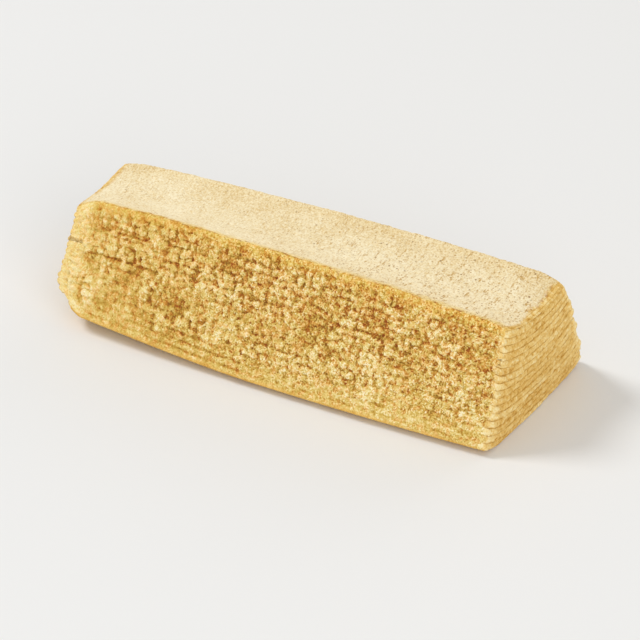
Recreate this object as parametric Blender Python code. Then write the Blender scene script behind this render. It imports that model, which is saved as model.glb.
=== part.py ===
"""A bar of baumkuchen: one eighth of a ring of spit-baked layer cake, lying on its outer crust.

The cake is baked in thin coats round a roller. This piece is cut along the roll, so it is a ring
sector in cross-section: the narrow top is the skin that lay on the roller, the wide base is the
browned outer crust, and each layer in between is an arc. The two long sides are torn crumb. The
two ends are the roll's own ends, where every layer stands out as a rib.

X runs along the roll, Y across the slice, Z up. The lengths below are in millimetres.
"""

import math

import bmesh
import bpy
from mathutils import Vector, noise

MM = 0.001

# The sector and its layers
LENGTH = 110.0
CORE_RADIUS = 27.9
CRUST_RADIUS = 55.0
HALF_ANGLE = math.radians(22.5)
LAYERS = 16
DEPTH = CRUST_RADIUS - CORE_RADIUS

# How the sector lies and sags
FLATTENING = 2.7  # the crust is pressed flat by this much under the middle of the slice
FLAT_BLEND = 0.9  # height over which the flat base turns into the round crust
TOP_DOME = 1.45  # the top stands this much higher at mid-length than at its ends
CORNER_LIFT = 2.3  # the crust's long edges curl up by this at the -X end
EDGE_RADIUS = (0.9, 0.5, 0.5)  # along the roll, across it and in height

# How far the long edges wander from straight lines, in Y: their shift, slant and bow
FRONT_TOP_EDGE = (0.5, -1.05, -0.1)
FRONT_BASE_EDGE = (0.0, 0.0, -1.6)
BACK_TOP_EDGE = (0.0, 1.25, 0.2)

# The ends: how far they step in at the top and at the base, and how the top rounds off there
END_TOP_INSET = {-1: 0.4, 1: 0.9}
END_BASE_INSET = {-1: 4.8, 1: 0.2}
END_BASE_REACH = {-1: 0.28, 1: 0.22}
END_SKEW = {-1: 0.75, 1: 1.15}
END_PLAN_ROUNDING = {-1: 1.3, 1: 0.6}
END_BULGE = {-1: 0.3, 1: 0.1}
SHOULDER_LENGTH = {-1: 8.0, 1: 6.0}
SHOULDER_DROP = {(-1, -1): 2.8, (-1, 1): 0.9, (1, -1): 0.8, (1, 1): 2.0}  # by end, then by long side
SHOULDER_FILL = {-1: 0.5, 1: 0.3}  # the hollow of the top fades out by this much at each end

# The lattice: two rows to a layer, so that ribs and grooves alternate
CELLS_LONG = 56
CELLS_ACROSS = 8
CELLS_DEEP = 2 * LAYERS

# The relief
RIB_HEIGHT = 0.45
RIB_UNEVENNESS = 0.35
CRUMB_HEIGHT = 0.45
CRUMB_LENGTH = 2.0
LAYER_SHIFT = 7.13  # the crumbs of a layer are offset by this many crumbs from those below
HOLLOW_HEIGHT = 0.35
HOLLOW_SPAN = 11.0
GROOVE_DEPTH = 0.25
SKIN_HEIGHT = 0.10
SKIN_GRAIN = 4.0

CRUMB_COLOUR = "d8b067"


def smooth_step(start, end, value):
    t = min(max((value - start) / (end - start), 0.0), 1.0)
    return t * t * (3.0 - 2.0 * t)


def soft_max(a, b, blend):
    """The larger of a and b, with the corner between them rounded over the height of blend."""
    return max(a, b) + max(blend - abs(a - b), 0.0) ** 2 / (4.0 * blend)


def linear_colour(code):
    """An sRGB colour as six hex digits, in linear light with alpha."""
    channels = [int(code[i : i + 2], 16) / 255 for i in (0, 2, 4)]
    return [c / 12.92 if c <= 0.04045 else ((c + 0.055) / 1.055) ** 2.4 for c in channels] + [1.0]


def round_edges(x, across, depth):
    """Rounds the edges of the straight bar that the slice is bent from.

    across runs from -1 at the front side to 1 at the back, and depth from 0 at the crust to 1 at
    the core. All three come back moved in.
    """
    half_width = (CRUST_RADIUS - depth * DEPTH) * HALF_ANGLE
    point = Vector((x, across * half_width, (depth - 0.5) * DEPTH))
    reach = (LENGTH / 2, half_width, DEPTH / 2)
    inner = Vector([max(r - h, min(h - r, p)) for p, h, r in zip(point, reach, EDGE_RADIUS)])
    out = Vector([(p - i) / r for p, i, r in zip(point, inner, EDGE_RADIUS)])
    if out.length > 1.0:
        out.normalize()
    point = inner + Vector([o * r for o, r in zip(out, EDGE_RADIUS)])
    return point.x, point.y / half_width, min(max(point.z / DEPTH + 0.5, 0.0), 1.0)


def wander(edge, along):
    shift, slant, bow = edge
    return shift + slant * along + bow * (1.0 - along * along)


def long_side_offset(along, across, depth):
    """How far the cut sides stand off the straight sector, in Y."""
    if across < 0.0:
        top, base = wander(FRONT_TOP_EDGE, along), wander(FRONT_BASE_EDGE, along)
        return -across * (depth * top + (1.0 - depth) * base)
    return across * depth * wander(BACK_TOP_EDGE, along)


def end_inset(end, across, depth):
    """How far this end has stepped in from the full length, at a point of it."""
    reach = END_BASE_REACH[end]
    at_base = smooth_step(reach, 0.0, depth) ** (1.5 if end < 0 else 1.0)
    at_top = depth if end < 0 else depth * depth
    at_corner = abs(across) ** 5 * (1.0 if across < 0.0 else 0.4)
    plan = END_PLAN_ROUNDING[end] * at_corner + END_BULGE[end] * (across * across - 0.5)
    return END_TOP_INSET[end] * at_top + END_BASE_INSET[end] * at_base + plan


def shoulder(end, x, across):
    """How far the top has rounded off towards this end."""
    start = LENGTH / 2 - SHOULDER_LENGTH[end]
    t = max(abs(x) - start, 0.0) / SHOULDER_LENGTH[end]
    to_back = (across + 1.0) / 2.0
    drop = (1.0 - to_back) * SHOULDER_DROP[end, -1] + to_back * SHOULDER_DROP[end, 1]
    return t * t * (drop - SHOULDER_FILL[end] * (1.0 - across * across))


def bend(x, across, depth):
    """A point of the straight bar, in its place in the ring sector."""
    end = 1 if x > 0.0 else -1
    along = x / (LENGTH / 2)
    angle = HALF_ANGLE * across
    radius = CRUST_RADIUS - depth * DEPTH
    axis_height = CRUST_RADIUS - FLATTENING
    round_base = axis_height - CRUST_RADIUS * math.cos(angle)
    flat_base = soft_max(round_base, 0.0, FLAT_BLEND)
    curl = CORNER_LIFT * smooth_step(0.0, -1.0, along)

    y = radius * math.sin(angle) + long_side_offset(along, across, depth)
    z = axis_height - radius * math.cos(angle)
    z += (1.0 - depth) ** 2 * (flat_base - round_base)
    z += (1.0 - depth) * abs(across) ** 3 * curl
    z += TOP_DOME * (1.0 - along * along) * depth**1.5
    z -= shoulder(end, x, across) * depth**2
    x += (END_SKEW[end] * across - end * end_inset(end, across, depth)) * along**6
    return Vector((x, y, z))


def relief(x, across, depth, place):
    """How far the surface stands out from the smooth form at a point of the lattice."""
    row = round(depth * CELLS_DEEP)
    layer = row // 2
    column = x / CRUMB_LENGTH + LAYER_SHIFT * layer
    crumb = noise.cell(Vector((column, 3.0 * across, layer + 0.5))) - 0.5
    if abs(x) > LENGTH / 2 - 0.01 and 0 < row < CELLS_DEEP:
        rib = RIB_HEIGHT * (0.5 if row % 2 else -0.5)
        uneven = noise.noise(Vector((x, 7.3 * layer, 0.6 * across)))
        return rib + RIB_UNEVENNESS * uneven + 0.3 * CRUMB_HEIGHT * crumb
    if abs(across) > 0.999:
        ridge = GROOVE_DEPTH * (0.5 if row % 2 else -0.5)
        to_edge = 1.0 - 0.8 * (2.0 * depth - 1.0) ** 4
        hollow = HOLLOW_HEIGHT * noise.noise(place / HOLLOW_SPAN)
        return to_edge * (hollow + CRUMB_HEIGHT * crumb) + ridge
    if depth > 0.999:
        return SKIN_HEIGHT * noise.noise(place / SKIN_GRAIN)
    return 0.0


def lattice():
    """A closed bar of unit cube proportions, cut into the cells of the slice."""
    bar = bmesh.new()
    bmesh.ops.create_cube(bar, size=2.0)
    for axis, cells in enumerate((CELLS_LONG, CELLS_ACROSS, CELLS_DEEP)):
        others = [i for i in range(3) if i != axis]
        along_axis = []
        for edge in bar.edges:
            step = edge.verts[0].co - edge.verts[1].co
            if max(abs(step[i]) for i in others) < 1e-6:
                along_axis.append(edge)
        bmesh.ops.subdivide_edges(bar, edges=along_axis, cuts=cells - 1, use_grid_fill=True)
    return bar


def slice_mesh():
    bar = lattice()
    places = []
    for vert in bar.verts:
        x, across, depth = vert.co.x * LENGTH / 2, vert.co.y, (vert.co.z + 1.0) / 2.0
        places.append((x, across, depth))
        vert.co = bend(*round_edges(x, across, depth))
    bar.normal_update()
    normals = [vert.normal.copy() for vert in bar.verts]
    for vert, normal, place in zip(bar.verts, normals, places):
        vert.co += normal * relief(*place, vert.co)
        vert.co.z = max(vert.co.z, 0.0)

    low = [min(vert.co[i] for vert in bar.verts) for i in (0, 1)]
    high = [max(vert.co[i] for vert in bar.verts) for i in (0, 1)]
    centre = Vector(((low[0] + high[0]) / 2, (low[1] + high[1]) / 2, 0.0))
    for vert in bar.verts:
        vert.co = (vert.co - centre) * MM
    bmesh.ops.recalc_face_normals(bar, faces=bar.faces)
    mesh = bpy.data.meshes.new("baumkuchen_slice")
    bar.to_mesh(mesh)
    bar.free()
    mesh.shade_smooth()
    mesh.set_sharp_from_angle(angle=math.radians(50))
    return mesh


def cake_material():
    material = bpy.data.materials.new("layered_cake")
    material.use_nodes = True
    shader = material.node_tree.nodes["Principled BSDF"]
    shader.inputs["Base Color"].default_value = linear_colour(CRUMB_COLOUR)
    shader.inputs["Roughness"].default_value = 0.85
    shader.inputs["Metallic"].default_value = 0.0
    return material


def build():
    for obj in list(bpy.data.objects):
        bpy.data.objects.remove(obj)
    cake = bpy.data.objects.new("baumkuchen_slice", slice_mesh())
    cake.data.materials.append(cake_material())
    bpy.context.scene.collection.objects.link(cake)


build()
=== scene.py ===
# %% [markdown]
# # A bar of baumkuchen
#
# Baumkuchen is baked on a turning roller: one thin coat of batter after another, each browned
# before the next goes on. This bar is an eighth of the ring, cut along the roll, and it lies on
# its outer crust. Four kinds of surface meet on it: the pale skin that lay on the roller, now on
# top, two long sides of torn crumb, the roll's own ends with a rib for every coat, and the
# browned crust below.
#
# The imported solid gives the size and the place. This script replaces it with a fine mesh of the
# same form, and gives that mesh its crumb, ribs, pores and colours.

# %% The frame
import math

import bpy
import numpy as np
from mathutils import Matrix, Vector


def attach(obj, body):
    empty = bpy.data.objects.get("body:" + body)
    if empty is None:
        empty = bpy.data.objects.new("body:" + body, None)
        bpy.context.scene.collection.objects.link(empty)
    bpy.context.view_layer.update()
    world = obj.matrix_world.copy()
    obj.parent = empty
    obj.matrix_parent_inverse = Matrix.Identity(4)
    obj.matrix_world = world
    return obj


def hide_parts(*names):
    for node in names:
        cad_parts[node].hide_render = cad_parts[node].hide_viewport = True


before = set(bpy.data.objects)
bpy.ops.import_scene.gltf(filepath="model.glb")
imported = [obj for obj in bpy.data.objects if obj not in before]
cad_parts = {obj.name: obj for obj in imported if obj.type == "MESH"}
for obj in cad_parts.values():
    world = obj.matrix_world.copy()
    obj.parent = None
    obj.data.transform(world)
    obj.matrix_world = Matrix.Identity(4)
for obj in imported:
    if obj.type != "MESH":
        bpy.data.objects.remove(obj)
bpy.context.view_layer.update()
NODE = "baumkuchen_slice"
MM = 0.001

# %% [markdown]
# ## Two helpers
#
# Colours are written as sRGB hex codes, as a colour picker shows them. Cycles wants linear light,
# in which twice the number is twice the light, so the first helper converts them.
#
# The second helper adds one node to a material. It sets the node's properties, then fills each
# input: with a value, with a link from a socket, or with a link from another node's first output.
# A colour ramp also gets its stops, as pairs of a position and a colour.

# %% Colours and nodes
def linear(code):
    """An sRGB colour as six hex digits, in linear light with alpha."""
    channels = [int(code[i : i + 2], 16) / 255 for i in (0, 2, 4)]
    return [c / 12.92 if c <= 0.04045 else ((c + 0.055) / 1.055) ** 2.4 for c in channels] + [1.0]


def add(tree, kind, inputs=None, stops=(), **settings):
    made = tree.nodes.new(kind)
    for name, value in settings.items():
        setattr(made, name, value)
    for name, value in (inputs or {}).items():
        if isinstance(value, bpy.types.Node):
            value = value.outputs[0]
        if isinstance(value, bpy.types.NodeSocket):
            tree.links.new(value, made.inputs[name])
        else:
            made.inputs[name].default_value = value
    while stops and len(made.color_ramp.elements) < len(stops):
        made.color_ramp.elements.new(0.5)
    for i, (position, code) in enumerate(stops):
        made.color_ramp.elements[i].position = position
        made.color_ramp.elements[i].color = linear(code)
    return made


# %% [markdown]
# ## The form
#
# The slice is a straight bar bent into a ring sector. A point of the bar has three coordinates:
# x along the roll, `across` from -1 at the front side to 1 at the back, and `depth` from 0 at
# the crust to 1 at the core. `bend` puts such a point in its place. The crust is pressed flat
# under the middle, the top is domed along its length, and the ends step in a little.
#
# A subdivided cube with modifiers could come close, but formulas keep this mesh on the solid that
# it replaces, and they tell every point which coat it belongs to.

# %% The sector's sizes, in millimetres
LENGTH = 110.0
CORE_RADIUS = 27.9
CRUST_RADIUS = 55.0
DEPTH = CRUST_RADIUS - CORE_RADIUS
HALF_ANGLE = math.radians(22.5)
LAYERS = 16
COAT = DEPTH / LAYERS
EDGE_RADIUS = np.array([0.9, 0.5, 0.5])  # along the roll, across it and in height

FLATTENING = 2.7  # the crust is pressed flat by this much under the middle
FLAT_BLEND = 0.9  # height over which the flat base turns into the round crust
TOP_DOME = 1.45  # the top stands this much higher at mid-length than at its ends
CORNER_LIFT = 2.3  # the crust's long edges curl up by this towards the -X end
END_LIFT = 1.3  # and by this much more at the very end

# each long edge's shift, slant and bow in Y
FRONT_TOP_EDGE = (0.5, -1.05, -0.1)
FRONT_BASE_EDGE = (0.0, 0.0, -1.6)
BACK_TOP_EDGE = (0.0, 1.25, 0.2)
print(f"{LAYERS} coats of {COAT:.2f} mm make {DEPTH:.1f} mm of cake")

# %% The two ends, as (-X end, +X end)
END_TOP_INSET = (0.4, 0.9)
END_BASE_INSET = (4.8, 0.2)
END_BASE_REACH = (0.28, 0.22)  # the step at the base fades out at this depth
END_BASE_POWER = (1.5, 1.0)
END_SKEW = (0.75, 1.15)
END_PLAN_ROUNDING = (1.3, 0.6)
BACK_CORNER_SHARE = 0.4  # the back corners are rounded by this share of that
END_BULGE = (0.3, 0.1)
SHOULDER_LENGTH = (8.0, 6.0)  # the top rounds off over this length
SHOULDER_DROP_FRONT = (2.8, 0.8)
SHOULDER_DROP_BACK = (0.9, 2.0)
SHOULDER_FILL = (0.5, 0.3)  # the hollow of the top fades out by this much


def by_end(x, pair):
    """The pair's first value in the -X half of the slice, and its second in the +X half."""
    return np.where(x > 0.0, pair[1], pair[0])


# %% Curves that the form is made of
def ramp(start, end, value):
    """A smooth step from 0 at start to 1 at end."""
    t = np.clip((value - start) / (end - start), 0.0, 1.0)
    return t * t * (3.0 - 2.0 * t)


def soft_max(a, b, blend):
    """The larger of a and b, with the corner between them rounded over blend."""
    return np.maximum(a, b) + np.maximum(blend - np.abs(a - b), 0.0) ** 2 / (4.0 * blend)


def wander(edge, along):
    shift, slant, bow = edge
    return shift + slant * along + bow * (1.0 - along * along)


# %% Rounding the bar's edges
def round_edges(x, across, depth):
    half_width = (CRUST_RADIUS - depth * DEPTH) * HALF_ANGLE
    point = np.stack([x, across * half_width, (depth - 0.5) * DEPTH], 1)
    reach = np.stack([np.full_like(x, LENGTH / 2), half_width, np.full_like(x, DEPTH / 2)], 1)
    inner = np.clip(point, EDGE_RADIUS - reach, reach - EDGE_RADIUS)
    out = (point - inner) / EDGE_RADIUS
    out /= np.maximum(np.linalg.norm(out, axis=1, keepdims=True), 1.0)
    point = inner + out * EDGE_RADIUS
    return point[:, 0], point[:, 1] / half_width, np.clip(point[:, 2] / DEPTH + 0.5, 0.0, 1.0)


# %% How the sides and the ends stand off a plain sector
def side_offset(along, across, depth):
    front = depth * wander(FRONT_TOP_EDGE, along) + (1.0 - depth) * wander(FRONT_BASE_EDGE, along)
    back = depth * wander(BACK_TOP_EDGE, along)
    return np.where(across < 0.0, -across * front, across * back)


def end_inset(x, across, depth):
    at_base = ramp(by_end(x, END_BASE_REACH), 0.0, depth) ** by_end(x, END_BASE_POWER)
    at_top = by_end(x, (depth, depth * depth))
    at_corner = np.abs(across) ** 5 * np.where(across < 0.0, 1.0, BACK_CORNER_SHARE)
    inset = by_end(x, END_TOP_INSET) * at_top + by_end(x, END_BASE_INSET) * at_base
    rounding = by_end(x, END_PLAN_ROUNDING) * at_corner
    inset += rounding + by_end(x, END_BULGE) * (across * across - 0.5)
    return inset


def shoulder(x, across):
    length = by_end(x, SHOULDER_LENGTH)
    t = np.maximum(np.abs(x) - (LENGTH / 2 - length), 0.0) / length
    to_back = (across + 1.0) / 2.0
    at_front, at_back = by_end(x, SHOULDER_DROP_FRONT), by_end(x, SHOULDER_DROP_BACK)
    drop = (1.0 - to_back) * at_front + to_back * at_back
    return t * t * (drop - by_end(x, SHOULDER_FILL) * (1.0 - across * across))


# %% Bending the bar
def bend(x, across, depth):
    along = x / (LENGTH / 2)
    angle = HALF_ANGLE * across
    radius = CRUST_RADIUS - depth * DEPTH
    axis_height = CRUST_RADIUS - FLATTENING
    round_base = axis_height - CRUST_RADIUS * np.cos(angle)
    flat_base = soft_max(round_base, 0.0, FLAT_BLEND)
    curl = CORNER_LIFT * ramp(0.0, -1.0, along) + END_LIFT * ramp(-0.90, -1.0, along)

    y = radius * np.sin(angle) + side_offset(along, across, depth)
    z = axis_height - radius * np.cos(angle)
    z += (1.0 - depth) ** 2 * (flat_base - round_base)
    z += (1.0 - depth) * np.abs(across) ** 3 * curl
    z += TOP_DOME * (1.0 - along * along) * depth**1.5
    z -= shoulder(x, across) * depth**2
    inwards = by_end(x, (-1.0, 1.0)) * end_inset(x, across, depth)
    return np.stack([x + (by_end(x, END_SKEW) * across - inwards) * along**6, y, z], 1)


# %% [markdown]
# ## The lattice
#
# The form is worked out on the skin of a box of cells, about 0.18 mm apart on the torn sides, which
# is fine enough for single crumbs. The six faces of the box then become six pieces, because one
# mesh of all of it would be too heavy. They share their edges point for point, so no gap shows.

# %% A box of cells
ROWS_PER_COAT = 10
CELLS = (604, 110, ROWS_PER_COAT * LAYERS)
FACE_NAMES = (
    "roll_end_left",
    "roll_end_right",
    "torn_front",
    "torn_back",
    "browned_crust",
    "pale_skin",
)


def box_skin(cells):
    """The points of a box's skin, as whole-number steps along its three axes, and its quads."""
    corners = []
    for axis in range(3):
        first, second = (axis + 1) % 3, (axis + 2) % 3
        a, b = np.meshgrid(np.arange(cells[first]), np.arange(cells[second]), indexing="ij")
        for level in (0, cells[axis]):
            turn = [(0, 0), (1, 0), (1, 1), (0, 1)]
            for da, db in turn if level else turn[::-1]:
                corner = np.empty((a.size, 3), int)
                corner[:, axis] = level
                corner[:, first] = a.ravel() + da
                corner[:, second] = b.ravel() + db
                corners.append(corner)
    per_side = [np.stack(corners[i : i + 4], 1) for i in range(0, 24, 4)]
    steps, index = np.unique(np.concatenate(per_side).reshape(-1, 3), axis=0, return_inverse=True)
    return steps, np.split(index.reshape(-1, 4), np.cumsum([len(side) for side in per_side[:-1]]))


steps, face_quads = box_skin(CELLS)
for name, quads in zip(FACE_NAMES, face_quads):
    print(name, 2 * len(quads), "triangles")

# %% Where each point of it lies
flat_x = (steps[:, 0] / CELLS[0] - 0.5) * LENGTH
flat_across = steps[:, 1] / CELLS[1] * 2.0 - 1.0
flat_depth = steps[:, 2] / CELLS[2]
front, back = steps[:, 1] == 0, steps[:, 1] == CELLS[1]
left_end, right_end = steps[:, 0] == 0, steps[:, 0] == CELLS[0]
ends = left_end | right_end
top = steps[:, 2] == CELLS[2]
inside_top = top & ~front & ~back & ~ends

# %% Fine mesh, still without relief
round_x, round_across, round_depth = round_edges(flat_x, flat_across, flat_depth)
smooth = bend(round_x, round_across, round_depth)


def outward(points, quads):
    """The average outward direction at each point."""
    a, b, c, d = (points[quads[:, i]] for i in range(4))
    faces = np.cross(c - a, d - b)
    total = np.zeros_like(points)
    for i in range(4):
        for axis in range(3):
            total[:, axis] += np.bincount(quads[:, i], faces[:, axis], len(points))
    return total / np.linalg.norm(total, axis=1, keepdims=True)


direction = outward(smooth, np.concatenate(face_quads))
print("smooth form's size in mm:", np.ptp(smooth, axis=0).round(2))

# %% [markdown]
# ## Uneven, but the same on every run
#
# Crumb needs noise at several sizes. Every random number here comes from a whole-number cell
# of space through one hash, so the cake is the same on each run. `noise` is smooth. `flakes` and
# `bubbles` scatter centres in a plane: flakes are the cells round them, each with its own number
# and its own slope, and bubbles are round hollows, which is how a broken sponge looks close up.

# %% Smooth noise from hashed cells
def hashed(cells, seed):
    """A steady number from 0 to 1 for each row of whole numbers.

    Shifts and large odd factors mix the bits, so that neighbouring cells have nothing in common.
    """
    h = np.full(len(cells), (seed * 2654435761) % 2**32, np.uint64)
    for column, factor in zip(np.asarray(cells).T, (73856093, 19349663, 83492791)):
        h ^= (column.astype(np.int64) & 0xFFFFFFFF).astype(np.uint64) * np.uint64(factor)
        h &= np.uint64(0xFFFFFFFF)
        h ^= h >> np.uint64(15)
        h = (h * np.uint64(2246822519)) & np.uint64(0xFFFFFFFF)
        h ^= h >> np.uint64(13)
    return h.astype(float) / 2**32


def noise(points, size, seed):
    """Smooth noise from -1 to 1 that changes over about size."""
    p = np.asarray(points, float) / size
    base = np.floor(p).astype(int)
    f = p - base
    f = f * f * (3.0 - 2.0 * f)
    total = np.zeros(len(p))
    for corner in np.ndindex(*[2] * p.shape[1]):
        weight = np.prod(np.where(np.array(corner) == 1, f, 1.0 - f), axis=1)
        total += weight * hashed(base + corner, seed)
    return 2.0 * total - 1.0


def rough(points, size, seed):
    """Noise with finer noise on it: three octaves, each at half the size and half the height."""
    return sum(noise(points, size / 2**i, seed + i) / 2**i for i in range(3)) / 1.6


# %% Flakes and bubbles round scattered centres
def centres(plane, size, scatter, seed):
    """The nine scattered centres round each point: the way from each, in sizes, and its number."""
    base = np.floor(plane / size).astype(int)
    for step in np.ndindex(3, 3):
        cell = base + step - 1
        spread = [0.5 + scatter[i] * (hashed(cell, seed + i) - 0.5) for i in (0, 1)]
        yield plane / size - cell - np.stack(spread, 1), hashed(cell, seed + 2)


def flakes(plane, size, scatter, seed):
    """Cells round scattered centres: each one's number, how far its centre is, and its own lean."""
    nearest = np.full(len(plane), 9.0)
    number = np.zeros(len(plane))
    lean = np.zeros(len(plane))
    for away, own in centres(plane, size, scatter, seed):
        distance = np.hypot(away[:, 0], away[:, 1])
        closer = distance < nearest
        number = np.where(closer, own, number)
        turn = 40.0 * own
        lean = np.where(closer, away[:, 0] * np.cos(turn) + away[:, 1] * np.sin(turn), lean)
        nearest = np.minimum(nearest, distance)
    return number, nearest, lean


def bubbles(plane, size, share, seed):
    """The depth of round hollows, as a share of size. Only this share of the centres has one."""
    depth = np.zeros(len(plane))
    for away, own in centres(plane, size, (1.0, 1.0), seed):
        distance = np.hypot(away[:, 0], away[:, 1])
        radius = np.where(own < share, 0.28 + 0.34 * own / share, 0.0)
        depth = np.maximum(depth, np.sqrt(np.maximum(radius**2 - distance**2, 0.0)))
    return depth


# %% [markdown]
# ## Torn crumb
#
# The long sides were broken rather than sliced. Crumb breaks between its bubbles, so the side is
# covered with pale ragged nubs, one to two millimetres across, and the gaps between them are
# golden brown. They stand in rows, one to a coat, and near the crust the coats are denser.
#
# Thousands of scattered crumbs would weigh far more and show their seams. Nothing hangs over
# here, so a height above the smooth form does the same. It is worked out on a flat grid of the
# side, x along and `up` from the crust, as a sum of patterns, each with its own size and seed.

# %% A flat grid of the side, and two ways to work on it
along_side = (np.arange(CELLS[0] + 1) / CELLS[0] - 0.5) * LENGTH
up_side = np.arange(CELLS[2] + 1) / CELLS[2] * DEPTH
SIDE_SHAPE = (len(along_side), len(up_side))
print("grid of a side:", SIDE_SHAPE, "points")


def local_mean(grid, reach):
    """The average of a 2-D grid over a square window that reaches this many cells each way."""
    for axis in (0, 1):
        pad = [(0, 0), (0, 0)]
        pad[axis] = (reach + 1, reach)
        total = np.pad(grid, pad, "edge").cumsum(axis)
        length = grid.shape[axis]
        upper = np.take(total, np.arange(length) + 2 * reach + 1, axis)
        grid = (upper - np.take(total, np.arange(length), axis)) / (2 * reach + 1)
    return grid


def stirred(flat, size, reach, seed):
    """The points of a plane, each pushed aside by up to reach, so that nothing stays round."""
    return flat + reach * np.stack([noise(flat, size, seed), noise(flat, size, seed + 1)], 1)


# %% The nubs, in rows
LUMP = 1.6  # across a nub, in mm
NUB_RADIUS = 0.38  # as a share of LUMP, and more for some
NUB_SOFTNESS = 0.30


def nubs(plane, seed):
    """How full of nub each point is, 0 to 1, with the nub's number and its lean."""
    number, away, lean = flakes(plane * (1.0, LUMP / COAT), LUMP, (0.7, 0.35), seed + 4)
    bulk = (NUB_RADIUS + 0.24 * number - away) / NUB_SOFTNESS + 0.9 * noise(plane, 0.95, seed + 35)
    return ramp(-0.4, 0.4, bulk + 0.4 * noise(plane, 0.42, seed + 36)), number, lean


# %% Upright columns, and the seams between coats
SEAM_WIDTH = 0.16  # of the line between two coats, in coats


def torn_columns(x, up, seed):
    """How far each point stands out where the crumb tore upright, mostly towards the left end."""
    upright = np.stack([x, up], 1) / (1.0, 3.0)
    columns = noise(upright, 1.7, seed + 24) + 0.4 * noise(upright, 0.8, seed + 37)
    return columns * (0.5 + 1.4 * ramp(-5.0, -30.0, x) * ramp(17.0, 12.0, up))


def seams(x, up, dense, seed):
    """Which coat each point is in, how far it has parted from the next, and the low fine lines."""
    flat = np.stack([x, up], 1)
    row = up / COAT + 0.12 * noise(flat, 3.0, seed + 22)
    seam = np.exp(-(((row - np.round(row)) / SEAM_WIDTH) ** 2))
    parted = ramp(-0.2, 0.6, noise(flat, 3.5, seed + 23))
    between = seam * parted * (0.7 + 0.6 * ramp(14.0, 5.0, up) + 0.7 * dense)
    low_lines = (0.15 + 0.45 * parted) * seam * (0.4 + 0.6 * ramp(-35.0, 0.0, x))
    return row, between, low_lines


# %% All of the crumb together
CRUMB = 0.7  # across the small crumbs on the nubs, in mm
HOLE = 0.9  # across a burst bubble


def crumb(x, up, seed):
    """The crumb's height in mm, how exposed it is, and which coat each point is in."""
    flat = np.stack([x, up], 1)
    plane = stirred(flat, 2.3, 0.35, seed)
    plane = stirred(plane, 0.6, 0.20, seed + 2)
    plane = stirred(plane, 0.35, 0.13, seed + 30)
    dense = ramp(5.0, 2.0, up)  # the coats next to the crust hold together better
    lumpy = (0.55 + 0.45 * ramp(-0.45, 0.25, noise(flat, 6.0, seed + 25))) * (1.0 - 0.5 * dense)
    full, number, lean = nubs(plane, seed)
    nub = full * lumpy
    small_number, _, small_lean = flakes(plane, CRUMB, (1.0, 1.0), seed + 7)
    grain = rough(plane, 0.5, seed + 16)
    pits = ramp(0.30, 0.65, noise(plane / (1.0, 1.6), 1.3, seed + 32)) * (1.0 - 0.7 * dense)
    holes = bubbles(plane, HOLE, 0.10, seed + 10)
    columns = torn_columns(x, up, seed)
    row, between, low_lines = seams(x, up, dense, seed)

    # every pattern's share of the height, in mm
    height = 0.38 * nub + 0.20 * lean * lumpy + 0.10 * small_lean
    height += 0.08 * grain + 0.16 * columns + 0.18 * noise(flat, 4.0, seed + 19)
    height -= 0.10 * pits + 0.40 * holes + 0.08 * between

    # near the core it is browner between the crumbs, and near the crust paler between the lines
    browner = ramp(10.0, 16.0, up) * (0.5 + 0.5 * ramp(-45.0, -20.0, x))
    # Painted light and shade: what stands out (nubs, columns) is paler, and pits, holes and the
    # lines between coats are darker. The browner coats near the core, each crumb's own number and
    # the grain are the crumb's own tone.
    exposed = 0.39 - 0.16 * browner + (0.40 + 0.12 * browner) * nub * (0.5 + 0.5 * number)
    exposed += 0.14 * (small_number - 0.5) + 0.10 * grain + 0.20 * columns
    exposed -= 0.10 * pits + 0.9 * holes + 0.2 * between - 0.05 * ramp(10.0, 35.0, x)
    exposed += (0.16 - low_lines) * ramp(4.6, 2.6, up)
    return height, exposed, row


# %% [markdown]
# ## Cracks and borders
#
# Where a coat has let go of the next there is a thin dark crack. They are few and they are what
# the eye finds first, so each one is listed: its start, its end and its height.
#
# Crumb also ends before the edges of its side do. The skin and the crust leave a clean strip, and
# at a roll end the side turns into pale ribs. So the relief fades out there, and comes back as
# ribs along the last two millimetres.

# %% Cracks, in mm: start, end and height
FRONT_CRACKS = ((-48.5, -32.0, 21.4), (-46.0, -29.5, 15.6), (-9.5, -3.0, 19.7), (17.0, 26.5, 16.8))
BACK_CRACKS = ((-38.0, -24.0, 18.7), (-6.0, 9.0, 13.6), (24.0, 39.0, 20.2), (12.0, 22.0, 6.8))
CRACK_WIDTH = 0.28
CRACK_DEPTH = 0.45
CRACK_TAPER = 3.0


def cracked(x, up, cracks, seed):
    """How deep each point lies in a crack, 0 to 1."""
    flat = np.stack([x, up], 1)
    along = flat[:, :1]
    crack = np.zeros(len(x))
    for start, stop, level in cracks:
        inside = ramp(start, start + CRACK_TAPER, x) * ramp(stop, stop - CRACK_TAPER, x)
        middle = level + 0.22 * noise(along, 3.0, seed + 20) + 0.12 * noise(along, 0.8, seed + 26)
        here = inside * np.exp(-(((up - middle) / CRACK_WIDTH) ** 2))
        crack = np.maximum(crack, here * ramp(-0.7, 0.1, noise(flat, 1.5, seed + 27)))
    return crack


# %% How far the crumb of a side fades towards its borders
CLEAN_EDGE = 0.8  # the skin and the crust leave a clean strip this wide
FADE_REACH = 1.6  # at the roll ends


def border_fade(x, up, from_skin, seed):
    flat = np.stack([x, up], 1)
    from_crust = ramp(0.4 * CLEAN_EDGE, 2.0 * CLEAN_EDGE, up + 0.4 * noise(flat, 2.5, seed + 28))
    from_end = ramp(0.0, FADE_REACH, LENGTH / 2 - np.abs(x))
    fade = (0.2 + 0.8 * from_crust) * (0.3 + 0.7 * from_skin) * (0.2 + 0.8 * from_end)
    fade *= (0.6 + 0.4 * ramp(3.0, 9.0, up)) * (0.85 + 0.15 * ramp(-35.0, -15.0, x))
    return fade


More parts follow.
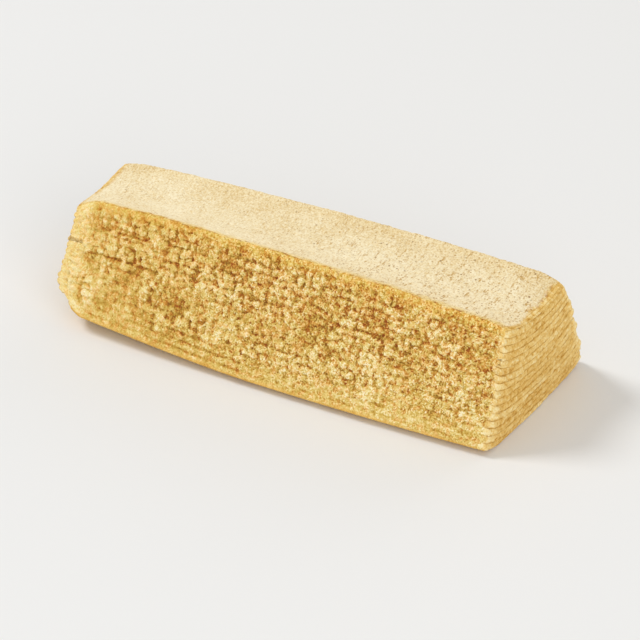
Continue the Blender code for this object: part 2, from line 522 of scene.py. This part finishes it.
# %% Ribs where the side meets a roll end
RIB_HEIGHT = 0.2
RIB_SHARE = (0.2, 0.8)  # how much of the ribs shows on the long sides, by end
# at the left end this paler band is also a painted highlight where the key light rakes the rim
PALE_WIDTH = (7.5, 2.6)  # the coats' rounded ends are paler over this width
PALE_CORE = (3.0, 0.5)
PALE_UNEVENNESS = (0.0, 1.2)


def rib_profile(row):
    """The rounded cross-section of a coat: 1 on its middle, and 0 at its grooves."""
    return 1.0 - np.abs(2.0 * (row - np.floor(row)) - 1.0) ** 3


def rounded_coats(x, up, row, seed):
    """The ribs' height on a long side, how pale they are, and how much of that shows."""
    from_end = LENGTH / 2 - np.abs(x)
    uneven = noise(np.stack([x * 0.15, np.floor(row) * 7.7], 1), 1.0, seed + 38)
    rib = rib_profile(row) - 0.8 + 0.5 * uneven
    ribbed = ramp(2.4, 0.4, from_end) * rib * by_end(x, RIB_SHARE)
    # At the left end the paleness is partly painted light: a painted highlight along the lit rim.
    # Elsewhere it is the coats' paler ends.
    pale = by_end(x, (1.1, 0.75 + 0.3 * uneven))
    width = by_end(x, PALE_WIDTH) + by_end(x, PALE_UNEVENNESS) * uneven
    ragged = from_end + noise(np.stack([x, up], 1), 2.0, seed + 31)
    return RIB_HEIGHT * ribbed, pale, 0.9 * ramp(width, by_end(x, PALE_CORE), ragged)


# %% A whole side: crumb, cracks and borders
HOLLOW_HEIGHT, HOLLOW_SPAN = 0.35, 11.0  # the side as a whole isn't flat
MEAN_REACH = 7  # cells to each side


def torn_side(cracks, seed):
    """The height in mm of a torn side above its smooth form, and how exposed it is."""
    x, up = (grid.ravel() for grid in np.meshgrid(along_side, up_side, indexing="ij"))
    flat = np.stack([x, up], 1)
    height, exposed, row = crumb(x, up, seed)
    crack = cracked(x, up, cracks, seed)
    height -= CRACK_DEPTH * crack
    # Painted light and shade: a point above its neighbourhood's mean is paler, one below it darker,
    # and the cracks darker still.
    above = height.reshape(SIDE_SHAPE) - local_mean(height.reshape(SIDE_SHAPE), MEAN_REACH)
    exposed += above.ravel() / 1.5 - 0.8 * crack
    print("exposed:", exposed.mean().round(2), "on average, spread", exposed.std().round(2))

    below_skin = DEPTH - up + 0.8 * noise(flat, 2.0, seed + 29)
    from_skin = ramp(0.4 * CLEAN_EDGE, 3.0 * CLEAN_EDGE, below_skin)
    fade = border_fade(x, up, from_skin, seed)
    ribbed, pale, pale_and_lit_end = rounded_coats(x, up, row, seed)
    hollow = HOLLOW_HEIGHT * noise(flat, HOLLOW_SPAN, seed + 21)
    height = (height - height.mean() + hollow) * fade + ribbed
    print("relief in mm:", height.min().round(2), "to", height.max().round(2))

    contrast = np.maximum(fade, 0.4) * (0.3 + 0.7 * from_skin)
    exposed = 0.6 + (np.clip(exposed, -0.2, 1.2) - 0.6) * contrast + 0.08 * (1.0 - from_skin)
    exposed += (pale - exposed) * pale_and_lit_end
    return height.reshape(SIDE_SHAPE), exposed.reshape(SIDE_SHAPE)


front_height, front_exposed = torn_side(FRONT_CRACKS, 1100)
back_height, back_exposed = torn_side(BACK_CRACKS, 2100)

# %% [markdown]
# ## Ribbed ends
#
# At the roll's end every coat finished a little further in or out than its neighbours, and each
# one is rounded. So the end is a stack of arcs with fine grooves between them. Along the broken
# edges single crumbs still stand out of the coats, which makes the outline ragged.
#
# A groove could be cut for each coat, but the depth already tells a point how far through its
# coat it is, so one rounded profile draws all sixteen.

# %% The relief of the ends
EDGE_CRUMB = (0.2, 0.45)  # how far the crumbs stand out in mm, by end


def ribs(y, depth, from_edge, edge_crumb, seed):
    """The height in mm of a roll end above its smooth form, and how exposed it is, 0 to 1."""
    plane = np.stack([y, depth * DEPTH], 1)
    row = depth * LAYERS + 0.20 * noise(plane, 4.0, seed) + 0.12 * noise(plane, 1.2, seed + 5)
    own_coat = np.clip(np.floor(row), 0, LAYERS - 1)
    rib = rib_profile(row)
    # long along the coat, and unlike from coat to coat
    uneven = noise(np.stack([y * 0.08, own_coat * 7.7], 1), 1.0, seed + 1)
    grain = rough(plane, 0.7, seed + 2)
    pits = bubbles(plane, 0.8, 0.25, seed + 6)
    knobs = ramp(0.0, 0.5, noise(np.stack([y, own_coat * 3.1], 1), 1.1, seed + 9))
    height = RIB_HEIGHT * (rib - 0.8) + 0.16 * uneven + 0.12 * grain - 0.25 * pits
    height += edge_crumb * rib * knobs * ramp(2.4, 0.6, from_edge + 0.6 * grain)
    # Painted light and shade: each coat's middle is paler than its grooves, the pits darker, and a
    # painted highlight lies within about 1.6 mm of the long edges. Grain and unevenness are the
    # coats' own tone.
    exposed = 0.45 + 0.15 * rib + 0.45 * grain + 0.2 * uneven - 0.7 * pits
    exposed += 0.35 * ramp(1.6, 0.3, from_edge + 0.6 * grain + 0.6 * uneven)
    return height, np.clip(exposed, 0.0, 1.0)


# %% [markdown]
# ## Where each finish lies
#
# The pale skin stops short of the long edges, where it broke away in a ragged golden line, and
# short of the ends, where the shoulder is rounded off and the coats' ends show. One material for
# each finish would leave hard borders along the faces of the mesh. So each point says how much of
# each finish it shows, and one material reads that.

# %% Skin
SKIN_MARGIN = (0.5, -0.8)  # at the front, and at the back, where the skin turns over the edge
BROKEN_MIDDLE, BROKEN_HALF, BROKEN_FURTHER = -34.0, 7.0, 1.5  # here more of it broke away
SHOULDER_BAND = (1.3, 1.9)  # it stops this far from the ends
SKIN_SOFTNESS = (1.4, 0.7)

half_top = CORE_RADIUS * HALF_ANGLE
below_top = (1.0 - flat_depth) * DEPTH
from_long_edge = (1.0 - np.abs(flat_across)) * half_top
from_rim = from_long_edge - below_top  # in from the edge on top, and below 0 down the sides
from_end = LENGTH / 2 - np.abs(flat_x)
from_shoulder = from_end - by_end(flat_x, SHOULDER_BAND) + 0.5 * noise(smooth[:, :2], 3.0, 5100)

margin = SKIN_MARGIN[0] + BROKEN_FURTHER * np.exp(-(((flat_x - BROKEN_MIDDLE) / BROKEN_HALF) ** 2))
margin = np.where(flat_across < 0.0, margin, SKIN_MARGIN[1])
ragged = margin + 0.6 * noise(smooth, 6.0, 5150)
ragged += 1.1 * rough(smooth, 1.8, 5200)
ragged += 0.5 * noise(smooth, 0.5, 5600)
softness = by_end(flat_x, SKIN_SOFTNESS)
skin = ramp(-0.5, 0.6, from_rim - ragged) * ~ends
skin *= ramp(-softness, softness, from_shoulder + 0.4 * ragged)
print("share of the points with skin:", skin.mean().round(3))

# %% Crust, and gold along the edges
CRUST_BAND = 0.5  # the crust shows this far up the sides
GOLDEN_RIM = 2.1  # the crumb is golden this far from the skin's edges
GOLDEN_SHARE = (0.9, 0.1)  # how golden, at the front and at the back
GOLDEN_END = 0.55  # and how golden the -X end is

up_slice = flat_depth * DEPTH
crust_edge = CRUST_BAND + 0.4 * noise(smooth[:, :2], 6.0, 5300) + 0.4 * rough(smooth, 1.2, 5350)
crust = ramp(0.5, -0.3, up_slice - crust_edge) * ~ends
rim_edge = GOLDEN_RIM + 0.8 * rough(smooth, 1.4, 5400)
golden = ramp(0.9, -0.9, np.abs(from_rim) - rim_edge)
golden *= np.where(flat_across < 0.0, GOLDEN_SHARE[0], GOLDEN_SHARE[1]) * ~ends
near_left = ramp(8.5, 1.5, flat_x + LENGTH / 2 + rough(smooth, 2.0, 5700))
golden = np.maximum(golden, GOLDEN_END * near_left * ~inside_top)
print("share with crust:", crust.mean().round(3), "and with gold:", golden.mean().round(3))

# %% Rib ends, on the ends and round their edges
SIDE_WIDTH = (4.5, 2.2)  # they show this far along the long sides
SIDE_SHARE = (0.2, 0.9)
SHOULDER_LINE = 0.8  # at the shoulder the coats come out in lines this far apart

side_edge = from_end + 1.8 * rough(smooth, 1.5, 5500)
side_band = (front | back) * by_end(flat_x, SIDE_SHARE)
side_band *= ramp(by_end(flat_x, SIDE_WIDTH), 0.4, side_edge)
shoulder_band = top * ramp(0.4, -0.4, from_shoulder) * ramp(-0.2, 0.6, from_long_edge)
roll_end = np.maximum(np.maximum(ends, side_band), shoulder_band)
coat = round_depth * LAYERS + np.where(top, from_end / SHOULDER_LINE, 0.0)
print("share with rib ends:", roll_end.mean().round(3))

# %% [markdown]
# ## Relief on every face
#
# The torn sides and the ends have theirs by now. The skin gets low waves, fine creases across the
# roll and a few pinholes where steam came out. Where it is gone, there is crumb. The underside
# stays smooth, because a crust browns evenly and the slice's own weight presses it flat.
#
# A displacement modifier would need an image or a texture for each face. Here every point simply
# moves out by its own height.

# %% Heights, then the points move out by them
height = np.zeros(len(smooth))
exposed = np.full(len(smooth), 0.6)
sides = ((front, front_height, front_exposed), (back, back_height, back_exposed))
for here, heights, shown in sides:
    height[here] = heights[steps[here, 0], steps[here, 2]]
    exposed[here] = shown[steps[here, 0], steps[here, 2]]
for here, edge_crumb, seed in ((left_end, EDGE_CRUMB[0], 3100), (right_end, EDGE_CRUMB[1], 3200)):
    y, depth, from_edge = smooth[here, 1], flat_depth[here], from_long_edge[here]
    height[here], exposed[here] = ribs(y, depth, from_edge, edge_crumb, seed)

crinkle = noise(smooth[:, :2] / (0.8, 3.5), 1.0, 4100)
pinholes = bubbles(smooth[:, :2], 1.6, 0.25, 4400)
skin_relief = 0.10 * noise(smooth[:, :2], 5.0, 4200) + 0.06 * crinkle
skin_relief += 0.05 * rough(smooth[:, :2], 1.0, 4300) - 0.35 * pinholes
bare = rough(smooth, 0.7, 4500)  # the crumb where the skin is gone
height[inside_top] = (skin * skin_relief + (1.0 - skin) * 0.16 * bare)[inside_top]
exposed[inside_top] = (0.5 + 0.8 * bare)[inside_top]
points = smooth + direction * height[:, None]
points[:, 2] = np.maximum(points[:, 2], 0.0)

# %% Centred over the origin, as the solid is
low, high = points.min(0), points.max(0)
centre = np.array([(low[0] + high[0]) / 2, (low[1] + high[1]) / 2, 0.0])
points -= centre
print("fine mesh's size in mm:", (high - low).round(2), "moved by", centre.round(2))

# %% [markdown]
# ## Six pieces
#
# Each face of the box becomes a piece of its own, and a piece should be a closed body. So walls
# run in from its edges and a fan of triangles closes them behind. Neighbours have walls with the
# same slant, as in a picture frame's mitred corners, so they meet inside without cutting.

# %% From numbers to closed meshes
MITRE = 9.0  # the walls run this far in from the edges, in mm
middle = (points.max(0) + points.min(0)) / 2
core = np.maximum(np.abs(points - middle).max(0) - MITRE, 1.0)


def mesh_piece(name, quads, attributes):
    used, index = np.unique(quads, return_inverse=True)
    index = index.reshape(quads.shape)
    edges = np.concatenate([index[:, [i, (i + 1) % 4]] for i in range(4)])
    _, first, count = np.unique(np.sort(edges, 1), axis=0, return_index=True, return_counts=True)
    border = edges[first[count == 1]]
    rim, rim_index = np.unique(border, return_inverse=True)
    outer = points[used][rim]
    inner = middle + np.clip(outer - middle, -core, core)
    hub = inner.mean(0)
    rim_index = rim_index.reshape(border.shape) + len(used)
    walls = [(b, a, a + len(rim), b + len(rim)) for a, b in rim_index.tolist()]
    fan = [(b + len(rim), a + len(rim), len(used) + 2 * len(rim)) for a, b in rim_index.tolist()]
    places = np.concatenate([points[used], outer, inner, [hub]])

    mesh = bpy.data.meshes.new(name)
    mesh.from_pydata((places * MM).tolist(), [], index.tolist() + walls + fan)
    for key, values in attributes.items():
        layer = mesh.attributes.new(key, "FLOAT", "POINT")
        filled = np.concatenate([values[used], values[used][rim], values[used][rim], [0.5]])
        layer.data.foreach_set("value", filled.astype(np.float32))
    mesh.shade_smooth()
    piece = bpy.data.objects.new(name, mesh)
    bpy.context.scene.collection.objects.link(piece)
    return piece


# %% The pieces, with what each point shows
attributes = {
    "exposed": exposed,
    "golden": golden,
    "coat": coat,
    "skin": skin,
    "crust": crust,
    "roll_end": roll_end,
}
pieces = [mesh_piece(name, quads, attributes) for name, quads in zip(FACE_NAMES, face_quads)]
for piece in pieces:
    print(piece.name, len(piece.data.vertices), "points")

# %% [markdown]
# ## Sponge
#
# The crumb is egg-yellow sponge: matt and full of air, with hardly any gloss. The colour follows
# the relief, pale on what stands out and golden brown in the pits. That is painted light and
# shade: it stands in for the light that real sponge lets through, which lifts its tops and warms
# its pits. One material does the whole slice, because its finishes run into each other with no
# border. It reads from each point how much skin, crust, gold or roll end shows there.
#
# All patterns are noise in the object's own space, so they need no unwrapping, and their scales
# are one over a real size.

# %% A material to fill
sponge = bpy.data.materials.new("egg_sponge")
sponge.use_nodes = True
tree = sponge.node_tree
tree.nodes.clear()
spot = add(tree, "ShaderNodeTexCoord").outputs["Object"]
position = add(tree, "ShaderNodeSeparateXYZ", {"Vector": spot})
exposed_here, golden_here, coat_here, skin_here, crust_here, end_here = (
    add(tree, "ShaderNodeAttribute", attribute_name=key).outputs["Fac"] for key in attributes
)

# %% Grain at four sizes
GRAINS = {"fine": 0.42, "grain": 1.0, "blot": 3.0, "patch": 10.0}  # in mm
grains = {
    name: add(
        tree,
        "ShaderNodeTexNoise",
        {"Vector": spot, "Scale": 1.0 / (size * MM), "Detail": 3.0, "Roughness": 0.65},
    ).outputs["Fac"]
    for name, size in GRAINS.items()
}
print("grain sizes in mm:", GRAINS)

# %% [markdown]
# ## Crumb
#
# A sum says how light each spot is: how far it stands out, which is painted light and shade,
# four sizes of grain, and specks as small as the walls between the bubbles. The specks are crisp at
# the right, and fade to the left
# and in the dense coats at the base. A colour ramp turns the sum from pit to tip. There are two
# such ramps, a lemon one and an amber one, and a separate noise wanders between them, because
# real crumb changes in hue as well as in lightness.

# %% Specks
SPECK = 0.32  # in mm
specks = add(
    tree, "ShaderNodeTexVoronoi", {"Vector": spot, "Scale": 1.0 / (SPECK * MM), "Randomness": 1.0}
)
speck = add(tree, "ShaderNodeMath", {0: specks.outputs["Color"], 1: 0.5}, operation="SUBTRACT")
crisp = add(
    tree,
    "ShaderNodeMapRange",
    {
        "Value": position.outputs["X"],
        "From Min": -45.0 * MM,
        "From Max": -5.0 * MM,
        "To Min": 0.5,
        "To Max": 1.3,
    },
)
smoother = add(
    tree,
    "ShaderNodeMapRange",
    {
        "Value": position.outputs["Z"],
        "From Min": 1.0 * MM,
        "From Max": 6.0 * MM,
        "To Min": 0.45,
        "To Max": 1.0,
    },
)
speck_share = add(tree, "ShaderNodeMath", {0: crisp, 1: smoother}, operation="MULTIPLY")

# %% How light each spot is
GRAIN_SHARES = {"fine": 1.15, "grain": 0.7, "blot": 0.7, "patch": 0.7}
light_sum = add(
    tree, "ShaderNodeMath", {0: speck, 1: speck_share, 2: exposed_here}, operation="MULTIPLY_ADD"
)
for name, share in GRAIN_SHARES.items():
    light_sum = add(
        tree, "ShaderNodeMath", {0: grains[name], 1: share, 2: light_sum}, operation="MULTIPLY_ADD"
    )
lightness = add(
    tree, "ShaderNodeMapRange", {"Value": light_sum, "From Min": 1.345, "From Max": 3.03}
)

# %% From pit to tip, in lemon and in amber
PIT_TO_TIP = (0.0, 0.2, 0.42, 0.62, 0.8, 1.0)
LEMON = ("94632a", "b78a33", "d5b258", "e9ce7e", "f5e4a7", "fdf2ca")
AMBER = ("9e5422", "bf7d2e", "dba650", "efc77b", "fadfa5", "fff0ca")
HUE_GRAIN = 1.2  # in mm
lemon, amber = (
    add(tree, "ShaderNodeValToRGB", {"Fac": lightness}, list(zip(PIT_TO_TIP, codes)))
    for codes in (LEMON, AMBER)
)
hue_noise = add(
    tree,
    "ShaderNodeTexNoise",
    {"Vector": spot, "Scale": 1.0 / (HUE_GRAIN * MM), "Detail": 3.0, "Roughness": 0.7},
)
to_core = add(
    tree,
    "ShaderNodeMapRange",
    {
        "Value": position.outputs["Z"],
        "From Min": 3.0 * MM,
        "From Max": 22.0 * MM,
        "To Min": -0.03,
        "To Max": 0.02,
    },
)
hue_sum = add(tree, "ShaderNodeMath", {0: hue_noise.outputs["Fac"], 1: to_core}, operation="ADD")
hue = add(tree, "ShaderNodeMapRange", {"Value": hue_sum, "From Min": 0.45, "From Max": 0.575})
crumb_colour = add(
    tree, "ShaderNodeMix", {"Factor": hue, 6: lemon, 7: amber}, data_type="RGBA"
).outputs[2]
print("nodes for the crumb:", len(tree.nodes))

# %% [markdown]
# ## Roll ends
#
# Here the sponge browned as a face of its own, so it is more golden than the torn crumb, with a
# darker line between any two coats. `coat` counts the coats as it rises, so a ping-pong of it is
# 0 at every groove and 0.5 in the middle of every coat, whatever the shape of the face. Grain
# shifts the line a little and blots fade it, or sixteen clean arcs would look ruled.

# %% Grooves on a mottled gold
ROLL_END = ((0.0, "c08a38"), (0.35, "e0b460"), (0.7, "f0cf86"), (1.0, "fbe8b0"))
GROOVE = "bd8b38"
to_groove = add(tree, "ShaderNodeMath", {0: coat_here, 1: 0.5}, operation="PINGPONG")
waver = add(
    tree, "ShaderNodeMath", {0: grains["grain"], 1: 0.16, 2: to_groove}, operation="MULTIPLY_ADD"
)
groove_depth = add(
    tree,
    "ShaderNodeMapRange",
    {"Value": grains["blot"], "From Min": 0.42, "From Max": 0.58, "To Min": 0.4, "To Max": 1.0},
)
groove = add(
    tree,
    "ShaderNodeMapRange",
    {"Value": waver, "From Min": 0.19, "From Max": 0.11, "To Max": groove_depth},
)
mottle = add(
    tree, "ShaderNodeMath", {0: grains["fine"], 1: 1.6, 2: exposed_here}, operation="MULTIPLY_ADD"
)
mottled = add(tree, "ShaderNodeMapRange", {"Value": mottle, "From Min": 0.7, "From Max": 1.95})
mottled_gold = add(tree, "ShaderNodeValToRGB", {"Fac": mottled}, ROLL_END)
rib_colour = add(
    tree, "ShaderNodeMix", {"Factor": groove, 6: mottled_gold, 7: linear(GROOVE)}, data_type="RGBA"
).outputs[2]
colour = add(
    tree, "ShaderNodeMix", {"Factor": end_here, 6: crumb_colour, 7: rib_colour}, data_type="RGBA"
).outputs[2]
print("nodes with the roll ends:", len(tree.nodes))

# %% [markdown]
# ## Crust
#
# The last coat browned most. It is an even golden brown with paler patches where the batter lay
# thicker, and just as matt as the crumb.

# %% A browned crust
CRUST = ((0.0, "c8903c"), (0.5, "e8ba5e"), (1.0, "f8d88c"))
crust_grain = add(tree, "ShaderNodeMath", {0: grains["patch"], 1: grains["grain"]}, operation="ADD")
crust_shade = add(
    tree, "ShaderNodeMath", {0: grains["fine"], 1: 1.5, 2: crust_grain}, operation="MULTIPLY_ADD"
)
crust_tone = add(
    tree, "ShaderNodeMapRange", {"Value": crust_shade, "From Min": 1.3, "From Max": 2.2}
)
crust_colour = add(tree, "ShaderNodeValToRGB", {"Fac": crust_tone}, CRUST)
colour = add(
    tree, "ShaderNodeMix", {"Factor": crust_here, 6: colour, 7: crust_colour}, data_type="RGBA"
).outputs[2]
print("nodes with the crust:", len(tree.nodes))

# %% [markdown]
# ## Skin
#
# The first coat lay on the roller and hardly browned, so its skin is cream. It is painted
# paler and warmer towards the front, as painted light where the hollow top tilts away from
# the lamps. Three kinds of mark lie on it, each browner than the skin: short crinkles across the
# roll, pores, and a few open holes. They are noise and Voronoi cells cut off at a level, which
# gives them ragged edges, and they are strongest at the right and gather in blots.

# %% Cream with a golden grain
SKIN = ((0.0, "dcbf88"), (0.3, "ead4a4"), (0.6, "f3e3bc"), (1.0, "fcf1d1"))
# painted light: the skin is lighter towards the front and a little darker at the back, standing in
# for the light the hollow top misses there
painted_front_light = add(
    tree,
    "ShaderNodeMapRange",
    {
        "Value": position.outputs["Y"],
        "From Min": 9.0 * MM,
        "From Max": -11.0 * MM,
        "To Min": -0.05,
        "To Max": 0.13,
    },
)
skin_grain = add(
    tree,
    "ShaderNodeMath",
    {0: grains["patch"], 1: 0.35, 2: grains["fine"]},
    operation="MULTIPLY_ADD",
)
skin_sum = add(tree, "ShaderNodeMath", {0: skin_grain, 1: painted_front_light}, operation="ADD")
skin_tone = add(tree, "ShaderNodeMapRange", {"Value": skin_sum, "From Min": 0.47, "From Max": 0.87})
skin_colour = add(tree, "ShaderNodeValToRGB", {"Fac": skin_tone}, SKIN).outputs["Color"]

# %% Patterns for the marks
CRINKLE = 0.7  # in mm, and four times as long across the roll
PORE = 0.75  # from one pore to the next
HOLE_SPACING = 2.1
squeezed = add(tree, "ShaderNodeMapping", {"Vector": spot, "Scale": (1.0, 0.25, 1.0)})
crinkles = add(
    tree,
    "ShaderNodeTexNoise",
    {"Vector": squeezed, "Scale": 1.0 / (CRINKLE * MM), "Detail": 3.0, "Roughness": 0.7},
)
pores, open_holes = (
    add(
        tree,
        "ShaderNodeTexVoronoi",
        {"Vector": spot, "Scale": 1.0 / (size * MM), "Randomness": 1.0},
    )
    for size in (PORE, HOLE_SPACING)
)
to_right = add(
    tree,
    "ShaderNodeMapRange",
    {
        "Value": position.outputs["X"],
        "From Min": -20.0 * MM,
        "From Max": 35.0 * MM,
        "To Min": 0.4,
        "To Max": 1.0,
    },
)
gathered = add(
    tree,
    "ShaderNodeMapRange",
    {"Value": grains["blot"], "From Min": 0.40, "From Max": 0.60, "To Min": 0.45, "To Max": 1.2},
)

# %% Crinkles, pores and holes, darkest last
for mark, start, stop, strength, code in (
    (crinkles.outputs["Fac"], 0.56, 0.66, 0.9, "c3984f"),
    (pores.outputs["Distance"], 0.34, 0.18, 0.7, "b3884a"),
    (open_holes.outputs["Distance"], 0.14, 0.07, 0.9, "8a5f2e"),
):
    here = add(tree, "ShaderNodeMath", {0: to_right, 1: strength}, operation="MULTIPLY")
    here = add(tree, "ShaderNodeMath", {0: here, 1: gathered}, operation="MULTIPLY", use_clamp=True)
    marked = add(
        tree,
        "ShaderNodeMapRange",
        {"Value": mark, "From Min": start, "From Max": stop, "To Max": here},
    )
    skin_colour = add(
        tree, "ShaderNodeMix", {"Factor": marked, 6: skin_colour, 7: linear(code)}, data_type="RGBA"
    ).outputs[2]

# %% Painted warm light on the front edge, and the skin goes on
# painted light: the skin's front edge is tinted warmer, as if warm light fell on it
FRONT_PAINTED_WARMTH = "fffaf2"
front_painted_warmth = add(
    tree,
    "ShaderNodeMapRange",
    {"Value": position.outputs["Y"], "From Min": 4.0 * MM, "From Max": -11.0 * MM},
)
skin_colour = add(
    tree,
    "ShaderNodeMix",
    {"Factor": front_painted_warmth, 6: skin_colour, 7: linear(FRONT_PAINTED_WARMTH)},
    data_type="RGBA",
    blend_type="MULTIPLY",
).outputs[2]
colour = add(
    tree, "ShaderNodeMix", {"Factor": skin_here, 6: colour, 7: skin_colour}, data_type="RGBA"
).outputs[2]
print("nodes with the skin:", len(tree.nodes))

# %% [markdown]
# ## Gold along the edges, and the surface itself
#
# Next to the skin, and at the left end, the crumb is a little more golden, so its colour is
# multiplied by a pale gold there. The surface is that of dry sponge: an IOR of 1.4, rough, and
# with little specular light, because most of it is lost among the pores. The finest grain is
# also a bump, since the mesh can't hold crumbs under half a millimetre.

# %% Gold, bumps and shader
GOLD_TINT = "fcf2d0"
colour = add(
    tree,
    "ShaderNodeMix",
    {"Factor": golden_here, 6: colour, 7: linear(GOLD_TINT)},
    data_type="RGBA",
    blend_type="MULTIPLY",
).outputs[2]
bumps = add(
    tree, "ShaderNodeBump", {"Height": grains["fine"], "Distance": 0.15 * MM, "Strength": 0.7}
)
shader = add(
    tree,
    "ShaderNodeBsdfPrincipled",
    {
        "Base Color": colour,
        "Roughness": 0.8,
        "IOR": 1.4,
        "Specular IOR Level": 0.2,
        "Normal": bumps,
    },
)
add(tree, "ShaderNodeOutputMaterial", {"Surface": shader})
print("nodes in the sponge:", len(tree.nodes))

# %% [markdown]
# ## In the solid's place
#
# The six pieces show the same cake as the solid does. So each one moves with the same body and
# wears the sponge, and the solid is hidden.

# %% The cake takes the solid's place
for piece in pieces:
    piece.data.materials.append(sponge)
    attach(piece, "root")
    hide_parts(NODE)
print(len(pieces), "pieces replace", NODE)

# %% [markdown]
# ## Studio
#
# A floor of pale matt paint, which gives a soft shadow and hardly a reflection. A soft key light
# high on the left, a wide fill from the front right, and a weak
# warm one behind, which only keeps the far side from going grey. The camera stands 0.7 m off with
# a long lens, 29 degrees round from the long side and 32.5 degrees above. That is where the
# proportions of the slice come out right.

# %% Floor
bpy.ops.mesh.primitive_plane_add(size=6.0)
floor = bpy.context.object
floor.name = "floor"
paint = bpy.data.materials.new("matt_paint")
paint.use_nodes = True
floor_shader = paint.node_tree.nodes["Principled BSDF"]
floor_shader.inputs["Base Color"].default_value = linear("ececeb")
floor_shader.inputs["Roughness"].default_value = 0.6
floor.data.materials.append(paint)

# %% Camera
AZIMUTH, ELEVATION = math.radians(29.1), math.radians(32.5)
DISTANCE = 0.7
PIXELS_PER_METRE = 4594.0  # at the middle of the slice
FRAME_PIXELS = 640
TARGET = Vector((0.0, 0.0, 0.015))
TARGET_PIXEL = (311.6, 286.1)

to_camera = Vector(
    (
        math.sin(AZIMUTH) * math.cos(ELEVATION),
        -math.cos(AZIMUTH) * math.cos(ELEVATION),
        math.sin(ELEVATION),
    )
)
right = Vector((math.cos(AZIMUTH), math.sin(AZIMUTH), 0.0))
up = to_camera.cross(right)
centre_right = (FRAME_PIXELS / 2 - TARGET_PIXEL[0]) / PIXELS_PER_METRE
centre_down = (FRAME_PIXELS / 2 - TARGET_PIXEL[1]) / PIXELS_PER_METRE
aim = TARGET + right * centre_right - up * centre_down

camera_data = bpy.data.cameras.new("camera")
camera_data.sensor_width = 36.0
camera_data.lens = DISTANCE * PIXELS_PER_METRE / FRAME_PIXELS * camera_data.sensor_width
camera = bpy.data.objects.new("camera", camera_data)
camera.location = TARGET + to_camera * DISTANCE
camera.rotation_euler = (camera.location - aim).to_track_quat("Z", "Y").to_euler()
bpy.context.scene.collection.objects.link(camera)
bpy.context.scene.camera = camera
print(f"lens {camera_data.lens:.0f} mm")

# %% Lights
def soft_light(name, location, diameter, watts, tint):
    data = bpy.data.lights.new(name, "AREA")
    data.shape = "DISK"
    data.size = diameter
    data.energy = watts
    data.color = linear(tint)[:3]
    light = bpy.data.objects.new(name, data)
    light.location = location
    light.rotation_euler = (Vector(location) - TARGET).to_track_quat("Z", "Y").to_euler()
    bpy.context.scene.collection.objects.link(light)


soft_light("key", (-0.96, -0.135, 1.16), 0.53, 10.1, "ffffff")
soft_light("fill", (0.70, -0.62, 0.45), 0.80, 4.0, "ffffff")
soft_light("back", (0.20, 0.95, 0.42), 0.80, 1.5, "fff4e8")
print("lights:", [light.name for light in bpy.data.lights])

# %% A pale room, and colours shown as they are
world = bpy.data.worlds.new("studio")
world.use_nodes = True
room = world.node_tree.nodes["Background"]
room.inputs["Color"].default_value = linear("fdfdfc")
room.inputs["Strength"].default_value = 0.52
bpy.context.scene.world = world
bpy.context.scene.view_settings.view_transform = "Standard"
